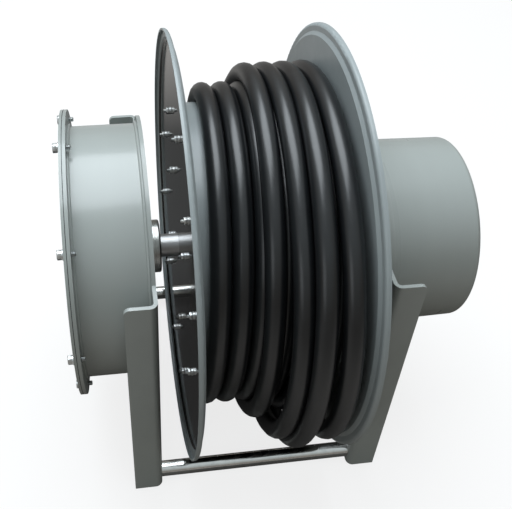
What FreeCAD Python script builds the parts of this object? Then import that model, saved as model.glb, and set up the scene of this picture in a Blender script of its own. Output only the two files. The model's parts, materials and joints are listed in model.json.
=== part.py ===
import FreeCAD, Part
import os
import re
import Sketcher

# Spring-driven cable reeling drum, in millimetres.
# The drum's axis runs along X at axis_height, +Z is up, and the origin is on the floor
# in the middle of the four foot bolts.

SIZES = {
    "axis_height": 365.0,
    # Drum
    "flange_radius": 350.0,
    "drum_half_width": 114.0,
    "flange_sheet": 3.0,
    "rim_step_start": 19.0,
    "rim_step_end": 13.0,
    "rim_step": 4.0,
    "lip_depth": 12.0,
    "lip_bend": 5.0,
    "barrel_radius": 233.0,
    "barrel_wall": 4.0,
    "barrel_ring_depth": 26.0,
    "barrel_ring_sheet": 6.0,
    "cable_entry_half_width": 19.0,
    "cable_entry_top": 95.0,
    "cable_entry_bottom": 15.0,
    "cable_entry_x": -92.0,
    "hub_radius": 142.0,
    "hub_sheet": 8.0,
    "hub_boss_radius": 34.0,
    "hub_boss_length": 30.0,
    "shaft_radius": 19.0,
    "shaft_bore_radius": 9.0,
    "hub_gap": 0.02,
    "barrel_bolts": 10,
    "barrel_bolt_circle": 221.0,
    "barrel_bolt_phase": 16.0,
    "hub_bolts": 4,
    "hub_bolt_circle": 124.0,
    "hub_bolt_phase": 35.0,
    "flange_bolt_radius": 3.0,
    "flange_bolt_head_width": 10.0,
    "flange_bolt_head_depth": 5.0,
    "flange_bolt_tail": 5.0,
    "flange_washer_radius": 6.0,
    "flange_washer_sheet": 1.2,
    "bolt_hole_gap": 0.3,
    # Cable
    "cable_radius": 15.5,
    "cable_pitch": 32.0,
    "inner_turns": 6,
    "outer_turns": 4,
    "winding_gap": 0.3,
    "layer_rise": 26.0,
    "slack_angle": -120.0,
    "slack_sweep": 300.0,
    "slack_left": 16.0,
    "slack_left_x": 9.0,
    "slack_middle": 32.0,
    "slack_middle_x": 41.0,
    "slack_right": 20.0,
    "slack_right_x": 92.0,
    "end_cap_angle": -79.0,
    "end_cap_radius": 17.5,
    "end_cap_length": 48.0,
    # Brackets
    "plate_gap": 168.0,
    "plate_sheet": 6.0,
    "flange_reach": 48.0,
    "bracket_half_depth": 232.5,
    "flange_top": 104.5,
    "arch_radius": 216.0,
    "bend_outer": 12.0,
    "corner_round": 9.0,
    "foot_bolt_x": 196.0,
    "foot_bolt_y": 150.0,
    "foot_hole_radius": 5.5,
    "tie_rod_radius": 13.5,
    "tie_rod_y": 211.0,
    "tie_rod_height": 21.5,
    "tie_bolt_radius": 6.0,
    "tie_bolt_length": 30.0,
    "tie_bolt_head_width": 19.0,
    "tie_bolt_head_depth": 7.5,
    "tie_washer_radius": 12.0,
    "tie_washer_sheet": 2.5,
    # Bearings
    "bearing_housing_radius": 44.0,
    "bearing_housing_length": 20.5,
    "bearing_outer_radius": 34.0,
    "bearing_inner_radius": 25.0,
    "bearing_ring_wall": 3.2,
    "bearing_width": 15.0,
    "bearing_seat_gap": 0.02,
    "shaft_clearance": 1.5,
    "bearing_balls": 9,
    "ball_gap": 0.3,
    "housing_bolts": 4,
    "housing_bolt_circle": 39.0,
    "housing_bolt_phase": 45.0,
    "housing_bolt_radius": 2.5,
    "housing_bolt_depth": 12.0,
    "housing_bolt_head_width": 8.0,
    "housing_bolt_head_depth": 3.5,
    "thread_gap": 0.1,
    # Spring motor
    "can_radius": 204.0,
    "can_wall": 3.0,
    "can_length": 107.0,
    "can_rim_radius": 231.0,
    "can_rim_sheet": 5.0,
    "gasket_sheet": 1.0,
    "cover_sheet": 4.0,
    "cover_bolts": 8,
    "cover_bolt_circle": 217.5,
    "cover_bolt_phase": 47.0,
    "cover_bolt_radius": 4.0,
    "cover_bolt_head_width": 13.0,
    "cover_bolt_head_depth": 5.3,
    "cover_bolt_tail": 9.5,
    "cover_washer_radius": 8.0,
    "cover_washer_sheet": 3.4,
    "can_bolts": 6,
    "can_bolt_circle": 185.0,
    "can_bolt_phase": 30.0,
    "can_bolt_radius": 4.0,
    "arbor_start": 10.0,
    "arbor_radius": 46.0,
    "arbor_length": 84.0,
    "spring_width": 78.0,
    "spring_sheet": 2.5,
    "spring_turns": 5,
    "spring_gap": 0.3,
    "spring_eye_radius": 46.4,
    # Slip-ring unit
    "cup_base_radius": 157.0,
    "cup_end_radius": 153.5,
    "cup_wall": 2.5,
    "cup_length": 171.4,
    "cup_edge_round": 9.0,
    "base_plate_sheet": 8.0,
    "base_plate_gap": 0.3,
    "base_bolt_circle": 136.0,
    "base_bolt_radius": 3.0,
    "base_bolt_head_width": 10.0,
    "base_bolt_head_depth": 4.0,
    "slip_rings": 4,
    "slip_ring_radius": 58.0,
    "slip_ring_wall": 9.0,
    "slip_ring_width": 14.0,
    "insulator_radius": 68.0,
    "insulator_width": 8.0,
    "stack_start": 24.0,
    "stack_sleeve_radius": 48.5,
    "stack_nut_width": 60.0,
    "stack_nut_depth": 10.0,
    "studs": 3,
    "stud_circle": 112.0,
    "stud_phase": 90.0,
    "stud_radius": 6.0,
    "stud_tail": 16.0,
    "stud_nut_width": 19.0,
    "stud_nut_depth": 9.0,
    "brush_width": 10.0,
    "brush_depth": 12.0,
    "brush_length": 18.0,
    "brush_gap": 0.3,
    "holder_radius": 13.0,
    "terminal_length": 110.0,
    "terminal_depth": 26.0,
    "terminal_width": 34.0,
    "terminal_drop": 100.0,
    "gland_x": 250.0,
    "gland_body_radius": 17.0,
    "gland_nut_width": 36.0,
    "gland_reach": 26.0,
    "gland_bore_radius": 9.0,
    "gland_seat_depth": 5.0,
}

FUNCTIONS = ("cos", "sin", "sqrt")

doc = FreeCAD.newDocument("cable_reeling_drum")
dims = doc.addObject("Spreadsheet::Sheet", "dims")
for row, (alias, size) in enumerate(SIZES.items(), start=1):
    dims.set(f"A{row}", alias)
    dims.set(f"B{row}", str(size))
    dims.setAlias(f"B{row}", alias)
doc.recompute()

X_AXIS = FreeCAD.Vector(1, 0, 0)
ALONG_X = FreeCAD.Rotation(FreeCAD.Vector(0, 1, 0), 90)
AGAINST_X = FreeCAD.Rotation(FreeCAD.Vector(0, 1, 0), -90)
UPRIGHT = FreeCAD.Rotation()
BACKWARD = FreeCAD.Rotation(X_AXIS, -90)
nodes = []


def expression(text):
    """Turn names of sizes into references to the sheet's cells."""
    return re.sub(r"[a-z]\w*", lambda m: m[0] if m[0] in FUNCTIONS else "dims." + m[0], text)


def value(text):
    return float(dims.evalExpression(expression(text)))


def bind(thing, **properties):
    for name, text in properties.items():
        thing.setExpression(name.replace("__", "."), expression(text))


def place(thing, x="0", y="0", z="0", turn=UPRIGHT):
    thing.Placement = FreeCAD.Placement(FreeCAD.Vector(), turn)
    bind(thing, Placement__Base__x=x, Placement__Base__y=y, Placement__Base__z=z)
    return thing


def node(thing, label):
    thing.Label = label
    nodes.append(thing)
    return thing


# Part primitives


def cylinder(radius, height, x="0", y="0", z="0", turn=UPRIGHT):
    thing = doc.addObject("Part::Cylinder", "cylinder")
    bind(thing, Radius=radius, Height=height)
    return place(thing, x, y, z, turn)


def box(length, width, height, x="0", y="0", z="0"):
    thing = doc.addObject("Part::Box", "box")
    bind(thing, Length=length, Width=width, Height=height)
    return place(thing, x, y, z)


def hexagon(across_flats, height, x="0", y="0", z="0", turn=UPRIGHT):
    thing = doc.addObject("Part::Prism", "hexagon")
    bind(thing, Circumradius=f"({across_flats}) / sqrt(3)", Height=height)
    return place(thing, x, y, z, turn)


def fuse(parts):
    thing = doc.addObject("Part::MultiFuse", "fuse")
    thing.Shapes = parts
    return thing


def cut(base, tool):
    thing = doc.addObject("Part::Cut", "cut")
    thing.Base = base
    thing.Tool = tool
    return thing


def group(parts, label):
    thing = doc.addObject("Part::Compound", "group")
    thing.Links = parts
    return node(thing, label)


# Sketched bodies


def new_body(label, z="axis_height"):
    thing = doc.addObject("PartDesign::Body", "body")
    thing.AllowCompound = True
    place(thing, z=z)
    return node(thing, label)


def new_sketch(owner, role, offset=None):
    sketch = owner.newObject("Sketcher::SketchObject", "sketch")
    plane = [item for item in owner.Origin.OriginFeatures if item.Role == role][0]
    sketch.AttachmentSupport = [(plane, "")]
    sketch.MapMode = "FlatFace"
    if offset:
        sketch.setExpression("AttachmentOffset.Base.z", expression(offset))
    return sketch


def fix_point(sketch, geometry, spot, across, up):
    for kind, text in (("DistanceX", across), ("DistanceY", up)):
        index = sketch.addConstraint(
            Sketcher.Constraint(kind, -1, 1, geometry, spot, value(text))
        )
        sketch.setExpression(f"Constraints[{index}]", expression(text))


def outline(sketch, points):
    """Draw a closed outline of straight lines through points given as pairs of texts."""
    spots = [FreeCAD.Vector(value(across), value(up), 0) for across, up in points]
    first = sketch.GeometryCount
    count = len(points)
    for i in range(count):
        sketch.addGeometry(Part.LineSegment(spots[i], spots[(i + 1) % count]), False)
    for i, (across, up) in enumerate(points):
        join = Sketcher.Constraint("Coincident", first + i, 2, first + (i + 1) % count, 1)
        sketch.addConstraint(join)
        fix_point(sketch, first + i, 1, across, up)
    return sketch


def circle(sketch, radius, across="0", up="0"):
    centre = FreeCAD.Vector(value(across), value(up), 0)
    index = sketch.addGeometry(
        Part.Circle(centre, FreeCAD.Vector(0, 0, 1), value(radius)), False
    )
    fix_point(sketch, index, 3, across, up)
    size = sketch.addConstraint(Sketcher.Constraint("Radius", index, value(radius)))
    sketch.setExpression(f"Constraints[{size}]", expression(radius))
    return sketch


def bolt_circle(sketch, radius, count, circle_radius, phase, up="0"):
    """Draw a hole for each bolt; the sketch's axes are the row's Y and Z."""
    for i in range(int(value(count))):
        angle = f"({phase} + {i} * 360 / {count})"
        across = f"{circle_radius} * cos({angle})"
        circle(sketch, radius, across, f"{up} + {circle_radius} * sin({angle})")


def housing_holes(sketch, up="0"):
    radius = "housing_bolt_radius + thread_gap"
    bolt_circle(sketch, radius, "housing_bolts", "housing_bolt_circle", "housing_bolt_phase", up)


def pad(owner, sketch, length, midplane=False, reverse=False):
    feature = owner.newObject("PartDesign::Pad", "pad")
    feature.Profile = sketch
    feature.Midplane = midplane
    feature.Reversed = reverse
    feature.setExpression("Length", expression(length))
    return feature


def drill(owner, sketch):
    """Cut the sketch's circles right through, both ways along the axis."""
    feature = owner.newObject("PartDesign::Pocket", "holes")
    feature.Profile = sketch
    feature.Type = "ThroughAll"
    feature.Midplane = True
    return feature


def pocket(owner, sketch, depth):
    feature = owner.newObject("PartDesign::Pocket", "pocket")
    feature.Profile = sketch
    feature.setExpression("Length", expression(depth))
    return feature


def revolve(owner, sketch):
    feature = owner.newObject("PartDesign::Revolution", "turned")
    feature.Profile = sketch
    feature.ReferenceAxis = (sketch, ["H_Axis"])
    feature.Angle = 360
    return feature


def turned(label, points, turn=UPRIGHT):
    """Revolve an outline of (x, radius) pairs about the drum's axis."""
    owner = new_body(label)
    owner.Placement.Rotation = turn
    revolve(owner, outline(new_sketch(owner, "XY_Plane"), points))
    return owner


def round_edges(owner, spots, radius):
    """Fillet the edges of the newest feature whose middle passes one of the spots."""
    doc.recompute()
    base = owner.Tip
    names = []
    for number, edge in enumerate(base.Shape.Edges, start=1):
        middle = edge.CenterOfMass
        reach = edge.Curve.Radius if isinstance(edge.Curve, Part.Circle) else None
        for spot in spots:
            close = all(
                want is None or abs(have - want) < 0.01
                for have, want in zip((middle.x, middle.y, middle.z), spot[:3])
            )
            if close and (len(spot) < 4 or (reach is not None and abs(reach - spot[3]) < 0.01)):
                names.append(f"Edge{number}")
    if not names:
        raise RuntimeError(f"{owner.Label}: no edge at {spots}")
    feature = owner.newObject("PartDesign::Fillet", "rounded")
    feature.Base = (base, names)
    feature.setExpression("Radius", expression(radius))
    return feature


# Fasteners


def hex_screw(head_width, head_depth, shank_radius, shank_length, washer=None, tail="0"):
    """A screw or a stud and nut along Z, its seat at zero, its shank below, its tail above."""
    seat = f"{washer[1]}" if washer else "0"
    length = f"{shank_length} + {seat} + {head_depth} / 2"
    if tail != "0":
        length = f"{shank_length} + {seat} + {head_depth} + {tail}"
    parts = [
        hexagon(head_width, head_depth, z=seat),
        cylinder(shank_radius, length, z=f"-({shank_length})"),
    ]
    if washer:
        parts.append(cylinder(washer[0], washer[1]))
    return fuse(parts)


def around(make, count, radius, phase, x, turn):
    """Set copies of a fastener round the drum's axis."""
    copies = []
    for i in range(int(value(count))):
        angle = f"({phase} + {i} * 360 / {count})"
        copies.append(
            place(
                make(),
                x,
                f"{radius} * cos({angle})",
                f"axis_height + {radius} * sin({angle})",
                turn,
            )
        )
    return copies


# Drum


def drum_flange(label, turn):
    """A spun disc with a stepped rim and a lip bent away from the cable."""
    inside = "drum_half_width"
    step = "drum_half_width + rim_step"
    edge = "drum_half_width + lip_depth"
    owner = turned(
        label,
        [
            (inside, "shaft_radius + shaft_clearance"),
            (inside, "flange_radius - rim_step_start"),
            (step, "flange_radius - rim_step_end"),
            (step, "flange_radius"),
            (edge, "flange_radius"),
            (edge, "flange_radius - flange_sheet"),
            (f"{step} + flange_sheet", "flange_radius - flange_sheet"),
            (f"{step} + flange_sheet", "flange_radius - rim_step_end"),
            (f"{inside} + flange_sheet", "flange_radius - rim_step_start"),
            (f"{inside} + flange_sheet", "shaft_radius + shaft_clearance"),
        ],
        turn,
    )
    round_edges(owner, [(value(step), None, None, value("flange_radius"))], "lip_bend")
    holes = new_sketch(owner, "YZ_Plane")
    screw_hole = "flange_bolt_radius + bolt_hole_gap"
    bolt_circle(holes, screw_hole, "barrel_bolts", "barrel_bolt_circle", "barrel_bolt_phase")
    bolt_circle(holes, screw_hole, "hub_bolts", "hub_bolt_circle", "hub_bolt_phase")
    drill(owner, holes)
    return owner


FLIPPED = FreeCAD.Rotation(FreeCAD.Vector(0, 0, 1), 180)
drum_flange("right_drum_flange", UPRIGHT)
# The left flange is the same spinning turned about the vertical, so its holes are mirrored too.
drum_flange("left_drum_flange", FLIPPED)

barrel = turned(
    "drum_barrel",
    [
        ("-drum_half_width", "barrel_radius"),
        ("drum_half_width", "barrel_radius"),
        ("drum_half_width", "barrel_radius - barrel_ring_depth"),
        ("drum_half_width - barrel_ring_sheet", "barrel_radius - barrel_ring_depth"),
        ("drum_half_width - barrel_ring_sheet", "barrel_radius - barrel_wall"),
        ("-(drum_half_width - barrel_ring_sheet)", "barrel_radius - barrel_wall"),
        ("-(drum_half_width - barrel_ring_sheet)", "barrel_radius - barrel_ring_depth"),
        ("-drum_half_width", "barrel_radius - barrel_ring_depth"),
    ],
)
slot_left = "cable_entry_x - cable_entry_half_width"
slot_right = "cable_entry_x + cable_entry_half_width"
entry = outline(
    new_sketch(barrel, "XZ_Plane", "-(barrel_radius - 4 * barrel_wall)"),
    [
        (slot_left, "-cable_entry_bottom"),
        (slot_right, "-cable_entry_bottom"),
        (slot_right, "cable_entry_top"),
        (slot_left, "cable_entry_top"),
    ],
)
pocket(barrel, entry, "6 * barrel_wall")
for face, phase, turned_back in (
    ("drum_half_width", "barrel_bolt_phase", False),
    ("-drum_half_width", "180 - barrel_bolt_phase", True),
):
    threads = new_sketch(barrel, "YZ_Plane", face)
    thread_radius = "flange_bolt_radius + thread_gap"
    bolt_circle(threads, thread_radius, "barrel_bolts", "barrel_bolt_circle", phase)
    pocket(barrel, threads, "barrel_ring_sheet").Reversed = turned_back


def hub(label, turn):
    """A disc and boss that carry the drum on its shaft, behind the flange."""
    owner = turned(
        label,
        [
            ("drum_half_width", "shaft_radius + hub_gap"),
            ("drum_half_width", "hub_radius"),
            ("drum_half_width - hub_sheet", "hub_radius"),
            ("drum_half_width - hub_sheet", "hub_boss_radius"),
            ("drum_half_width - hub_boss_length", "hub_boss_radius"),
            ("drum_half_width - hub_boss_length", "shaft_radius + hub_gap"),
        ],
        turn,
    )
    holes = new_sketch(owner, "YZ_Plane")
    bolt_circle(
        holes, "flange_bolt_radius + bolt_hole_gap", "hub_bolts", "hub_bolt_circle", "hub_bolt_phase"
    )
    drill(owner, holes)
    return owner


hub("right_hub", UPRIGHT)
hub("left_hub", FLIPPED)


def flange_screws(label, count, circle_radius, phase, grip):
    """Both flanges' screws. The left flange is turned over, so its angles run the other way."""
    right_face = "drum_half_width + flange_sheet"

    def screw():
        return hex_screw(
            "flange_bolt_head_width",
            "flange_bolt_head_depth",
            "flange_bolt_radius",
            grip,
            ("flange_washer_radius", "flange_washer_sheet"),
            "flange_bolt_tail",
        )

    right = around(screw, count, circle_radius, phase, right_face, ALONG_X)
    left = around(screw, count, circle_radius, f"180 - {phase}", f"-({right_face})", AGAINST_X)
    group(right + left, label)


flange_screws(
    "barrel_screws",
    "barrel_bolts",
    "barrel_bolt_circle",
    "barrel_bolt_phase",
    "flange_sheet + barrel_ring_sheet - winding_gap",
)
flange_screws("hub_screws", "hub_bolts", "hub_bolt_circle", "hub_bolt_phase", "flange_sheet + hub_sheet")

# The shaft runs from the spring cover to the far end of the slip rings.
PLATE_OUT = "(plate_gap + plate_sheet)"
CAN_END = f"({PLATE_OUT} + can_length)"
STACK_PITCH = "(slip_ring_width + insulator_width)"
STACK_BEGIN = f"({PLATE_OUT} + stack_start)"
STACK_LENGTH = f"(slip_rings * {STACK_PITCH} + insulator_width)"
SHAFT_TAIL = f"({STACK_BEGIN} + {STACK_LENGTH} + 2 * stack_nut_depth)"
shaft = cylinder(
    "shaft_radius",
    f"{CAN_END} - can_rim_sheet + {SHAFT_TAIL}",
    f"-({CAN_END} - can_rim_sheet)",
    "0",
    "axis_height",
    ALONG_X,
)
# The cable's cores run inside the shaft from the drum to the slip rings.
core_bore = cylinder("shaft_bore_radius", SHAFT_TAIL, "0", "0", "axis_height", ALONG_X)
node(cut(shaft, core_bore), "drum_shaft")


# Cable, wound on the barrel: closed windings with one ridge for each turn


def ridge(sketch, last, count, low, top):
    """Draw turns side by side, a flat bed at the low radius and a round top on each turn."""
    turns = int(value(count))
    half = "cable_pitch / 2"
    valley = f"{top} - {half}"
    right, left = f"{last} + {half}", f"{last} - ({turns} - 0.5) * cable_pitch"

    def spot(across, up):
        return FreeCAD.Vector(value(across), value(up), 0)

    def join(one, one_end, other, other_end):
        sketch.addConstraint(Sketcher.Constraint("Coincident", one, one_end, other, other_end))

    bed = sketch.addGeometry(Part.LineSegment(spot(right, low), spot(left, low)), False)
    fix_point(sketch, bed, 1, right, low)
    fix_point(sketch, bed, 2, left, low)
    rise = sketch.addGeometry(Part.LineSegment(spot(left, low), spot(left, valley)), False)
    join(bed, 2, rise, 1)
    fix_point(sketch, rise, 2, left, valley)
    before, before_end = rise, 2
    for i in range(turns):
        start = f"{left} + {i} * cable_pitch"
        end = f"{left} + {i + 1} * cable_pitch"
        middle = f"{left} + {i + 0.5} * cable_pitch"
        crown = Part.Arc(spot(start, valley), spot(middle, top), spot(end, valley))
        arc = sketch.addGeometry(crown, False)
        # The sketcher keeps an arc the other way round, so its first point is on the right.
        join(before, before_end, arc, 2)
        fix_point(sketch, arc, 3, middle, valley)
        level = sketch.addConstraint(Sketcher.Constraint("DistanceY", -1, 1, arc, 1, value(valley)))
        sketch.setExpression(f"Constraints[{level}]", expression(valley))
        before, before_end = arc, 1
    fall = sketch.addGeometry(Part.LineSegment(spot(right, valley), spot(right, low)), False)
    join(before, before_end, fall, 1)
    join(fall, 2, bed, 1)
    return sketch


INNER_CENTRE = "(barrel_radius + winding_gap + cable_radius)"
OUTER_CENTRE = f"({INNER_CENTRE} + layer_rise)"
LAST_TURN = "(drum_half_width - winding_gap - cable_pitch / 2)"
INNER_BED = "(barrel_radius + winding_gap)"
INNER_TOP = f"({INNER_CENTRE} + cable_radius)"
OUTER_TOP = f"({OUTER_CENTRE} + cable_radius)"
for label, count, low, top in (
    ("cable_inner_layer", "inner_turns", INNER_BED, INNER_TOP),
    ("cable_outer_layer", "outer_turns", f"({INNER_TOP} + winding_gap)", OUTER_TOP),
):
    layer = new_body(label)
    revolve(layer, ridge(new_sketch(layer, "XY_Plane"), LAST_TURN, count, low, top))

# Three of the outer turns hang slack below and in front, each a ring set off the drum's axis
# with the room of the tight winding taken out of it.
slack_start = FreeCAD.Rotation(
    FreeCAD.Vector(0, 0, 1), value("slack_angle + 90 - slack_sweep / 2")
)
slack_rings = []
for slack in ("slack_left", "slack_middle", "slack_right"):
    ring = doc.addObject("Part::Torus", "slack_ring")
    bind(
        ring,
        Radius1=f"{OUTER_CENTRE} + {slack}",
        Radius2="cable_radius",
        Angle3="slack_sweep",
    )
    place(
        ring,
        f"{slack}_x",
        f"{slack} * cos(slack_angle)",
        f"axis_height + {slack} * sin(slack_angle)",
        ALONG_X * slack_start,
    )
    tight_room = cylinder(
        f"{OUTER_TOP} + winding_gap",
        "2 * drum_half_width",
        "-drum_half_width",
        "0",
        "axis_height",
        ALONG_X,
    )
    slack_rings.append(cut(ring, tight_room))
group(slack_rings, "cable_slack_turns")

# The free end lies behind and below on the first layer, in a rubber cap.
cap_turn = FreeCAD.Rotation(X_AXIS, value("end_cap_angle"))
CAP_RADIUS = f"({INNER_TOP} + 2 * winding_gap + end_cap_radius)"
end_cap = cylinder("end_cap_radius", "end_cap_length")
node(
    place(
        end_cap,
        f"{LAST_TURN} - (outer_turns - 0.5) * cable_pitch - end_cap_radius - 2 * winding_gap",
        f"{CAP_RADIUS} * cos(end_cap_angle) + end_cap_length / 2 * sin(end_cap_angle)",
        f"axis_height + {CAP_RADIUS} * sin(end_cap_angle)"
        " - end_cap_length / 2 * cos(end_cap_angle)",
        cap_turn,
    ),
    "cable_end_cap",
)


# Brackets, folded from plate: a web with a flange at the front and the rear, both folded outward


def bracket(label, turn, bolt_radius, bolt_circle_radius):
    """The web stands at +X; the turned copy is the other side's."""
    web_in, web_out = "plate_gap", PLATE_OUT
    tip = "plate_gap + flange_reach"
    deep, inner = "bracket_half_depth", "(bracket_half_depth - plate_sheet)"
    owner = new_body(label, z="0")
    owner.Placement.Rotation = turn
    section = outline(
        new_sketch(owner, "XY_Plane"),
        [
            (web_in, f"-{deep}"),
            (tip, f"-{deep}"),
            (tip, f"-{inner}"),
            (web_out, f"-{inner}"),
            (web_out, inner),
            (tip, inner),
            (tip, deep),
            (web_in, deep),
        ],
    )
    pad(owner, section, "axis_height + flange_top")
    x_in, x_out, x_tip = value(web_in), value(web_out), value(tip)
    y_out, y_in = value(deep), value(inner)
    round_edges(owner, [(x_in, y_out, None), (x_in, -y_out, None)], "bend_outer")
    round_edges(
        owner, [(x_out, y_in, None), (x_out, -y_in, None)], "bend_outer - plate_sheet"
    )
    top = value("axis_height + flange_top")
    y_mid = (y_out + y_in) / 2
    round_edges(owner, [(x_tip, y_mid, top), (x_tip, -y_mid, top)], "corner_round")
    # The head is an arch that follows the can; its ends stand on the web.
    head = new_sketch(owner, "YZ_Plane", web_in)
    foot_across = "sqrt(arch_radius^2 - (flange_top - plate_sheet)^2)"
    foot_up = "axis_height + flange_top - plate_sheet"
    ends = [FreeCAD.Vector(sign * value(foot_across), value(foot_up), 0) for sign in (1, -1)]
    crown = FreeCAD.Vector(0, value("axis_height + arch_radius"), 0)
    arch = head.addGeometry(Part.Arc(ends[0], crown, ends[1]), False)
    chord = head.addGeometry(Part.LineSegment(ends[1], ends[0]), False)
    head.addConstraint(Sketcher.Constraint("Coincident", arch, 2, chord, 1))
    head.addConstraint(Sketcher.Constraint("Coincident", chord, 2, arch, 1))
    fix_point(head, arch, 3, "0", "axis_height")
    fix_point(head, chord, 2, foot_across, foot_up)
    head.addConstraint(Sketcher.Constraint("Horizontal", chord))
    pad(owner, head, "plate_sheet")
    holes = new_sketch(owner, "YZ_Plane")
    circle(holes, "bearing_outer_radius - bearing_ring_wall", up="axis_height")
    for across in ("tie_rod_y", "-tie_rod_y"):
        circle(holes, "tie_bolt_radius + bolt_hole_gap", across, "tie_rod_height")
    drill(owner, holes)
    bolts = new_sketch(owner, "YZ_Plane")
    housing_holes(bolts, "axis_height")
    cover_holes = (f"{bolt_radius} + thread_gap", "can_bolts", bolt_circle_radius)
    bolt_circle(bolts, *cover_holes, "can_bolt_phase", "axis_height")
    drill(owner, bolts)
    return owner


bracket("right_bracket", UPRIGHT, "base_bolt_radius", "base_bolt_circle")
bracket("left_bracket", FLIPPED, "can_bolt_radius", "can_bolt_circle")


def foot_plate(side, sign):
    """A flat bar welded inside the foot of the bracket, with two bolt holes."""
    low_x = PLATE_OUT if sign > 0 else "-(plate_gap + flange_reach)"
    bar = box(
        "flange_reach - plate_sheet",
        "2 * (bracket_half_depth - plate_sheet - winding_gap)",
        "plate_sheet",
        low_x,
        "-(bracket_half_depth - plate_sheet - winding_gap)",
        "0",
    )
    corners = []
    for y_sign in ("-", ""):
        hole = cylinder(
            "foot_hole_radius",
            "3 * plate_sheet",
            f"{sign} * foot_bolt_x",
            f"{y_sign}foot_bolt_y",
            "-plate_sheet",
        )
        corners.append(hole)
        x_room = PLATE_OUT if sign > 0 else f"-{PLATE_OUT} - (bend_outer - plate_sheet)"
        y_room = (
            "bracket_half_depth - bend_outer"
            if y_sign == ""
            else "-bracket_half_depth + plate_sheet"
        )
        corners.append(
            box(
                "bend_outer - plate_sheet",
                "bend_outer - plate_sheet",
                "3 * plate_sheet",
                x_room,
                y_room,
                "-plate_sheet",
            )
        )
    node(cut(bar, fuse(corners)), f"{side}_foot_plate")


foot_plate("left", -1)
foot_plate("right", 1)

for name, side in (("front_tie_rod", "-"), ("rear_tie_rod", "")):
    rod = cylinder("tie_rod_radius", "2 * plate_gap", turn=ALONG_X)
    bores = []
    for start in ("0", "2 * plate_gap - tie_bolt_length"):
        bores.append(cylinder("tie_bolt_radius", "tie_bolt_length", x=start, turn=ALONG_X))
    rod = cut(rod, fuse(bores))
    node(place(rod, "-plate_gap", f"{side}tie_rod_y", "tie_rod_height"), name)

tie_screws = []
for x, turn in ((PLATE_OUT, ALONG_X), (f"-{PLATE_OUT}", AGAINST_X)):
    for side in ("-", ""):
        screw = hex_screw(
            "tie_bolt_head_width",
            "tie_bolt_head_depth",
            "tie_bolt_radius - thread_gap",
            "plate_sheet + tie_bolt_length - tie_washer_sheet",
            ("tie_washer_radius", "tie_washer_sheet"),
        )
        tie_screws.append(place(screw, x, f"{side}tie_rod_y", "tie_rod_height", turn))
group(tie_screws, "tie_rod_screws")

# Bearings, in housings screwed to the drum side of each web
HOUSING_END = "(plate_gap - bearing_housing_length)"
for side, turn in (("right", UPRIGHT), ("left", FLIPPED)):
    housing = turned(
        f"{side}_bearing_housing",
        [
            ("plate_gap", "bearing_outer_radius + bearing_seat_gap"),
            ("plate_gap", "bearing_housing_radius"),
            (HOUSING_END, "bearing_housing_radius"),
            (HOUSING_END, "shaft_radius + shaft_clearance"),
            ("plate_gap - bearing_width - 1", "shaft_radius + shaft_clearance"),
            ("plate_gap - bearing_width - 1", "bearing_outer_radius + bearing_seat_gap"),
        ],
        turn,
    )
    rim = (value(HOUSING_END), None, None, value("bearing_housing_radius"))
    round_edges(housing, [rim], "flange_sheet")
    threads = new_sketch(housing, "YZ_Plane", "plate_gap")
    housing_holes(threads)
    pocket(housing, threads, "housing_bolt_depth")

can_floor = f"({PLATE_OUT} + can_wall)"
base_out = f"({PLATE_OUT} + base_plate_sheet)"
housing_place = ("housing_bolts", "housing_bolt_circle", "housing_bolt_phase")
housing_screws = []
for x, turn, grip in (
    (base_out, ALONG_X, "base_plate_sheet"),
    (f"-{can_floor}", AGAINST_X, "can_wall"),
):

    def housing_screw():
        return hex_screw(
            "housing_bolt_head_width",
            "housing_bolt_head_depth",
            "housing_bolt_radius",
            f"{grip} + plate_sheet + housing_bolt_depth - winding_gap",
        )

    housing_screws += around(housing_screw, *housing_place, x, turn)
group(housing_screws, "housing_screws")


def web_screws(label, head, radius, circle_radius, x, grip, turn):
    """Screws that hold a cover's base to the web, their heads inside the cover."""

    def screw():
        shank = f"{grip} + plate_sheet"
        return hex_screw(f"{head}_head_width", f"{head}_head_depth", radius, shank)

    group(around(screw, "can_bolts", circle_radius, "can_bolt_phase", x, turn), label)


web_screws(
    "spring_housing_screws",
    "cover_bolt",
    "can_bolt_radius",
    "can_bolt_circle",
    f"-{can_floor}",
    "can_wall",
    AGAINST_X,
)
web_screws(
    "slip_ring_base_screws",
    "base_bolt",
    "base_bolt_radius",
    "base_bolt_circle",
    base_out,
    "base_plate_sheet",
    ALONG_X,
)

for label, low, high in (
    ("bearing_outer_rings", "bearing_outer_radius - bearing_ring_wall", "bearing_outer_radius"),
    ("bearing_inner_rings", "shaft_radius + bearing_seat_gap", "bearing_inner_radius"),
):
    rings = []
    for x in ("plate_gap - bearing_width - 0.5", "-(plate_gap - 0.5)"):
        solid = cylinder(high, "bearing_width", x, "0", "axis_height", ALONG_X)
        bore = cylinder(low, "bearing_width", x, "0", "axis_height", ALONG_X)
        rings.append(cut(solid, bore))
    group(rings, label)

BALL_GAP_LOW = "(bearing_outer_radius - bearing_ring_wall - bearing_inner_radius)"
balls = []
for x in ("plate_gap - bearing_width / 2 - 0.5", "-(plate_gap - bearing_width / 2 - 0.5)"):
    for i in range(int(value("bearing_balls"))):
        ball = doc.addObject("Part::Sphere", "ball")
        bind(ball, Radius=f"{BALL_GAP_LOW} / 2 - ball_gap")
        angle = f"({i} * 360 / bearing_balls)"
        track = "((bearing_outer_radius - bearing_ring_wall + bearing_inner_radius) / 2)"
        place(ball, x, f"{track} * cos({angle})", f"axis_height + {track} * sin({angle})")
        balls.append(ball)
group(balls, "bearing_balls")

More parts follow.
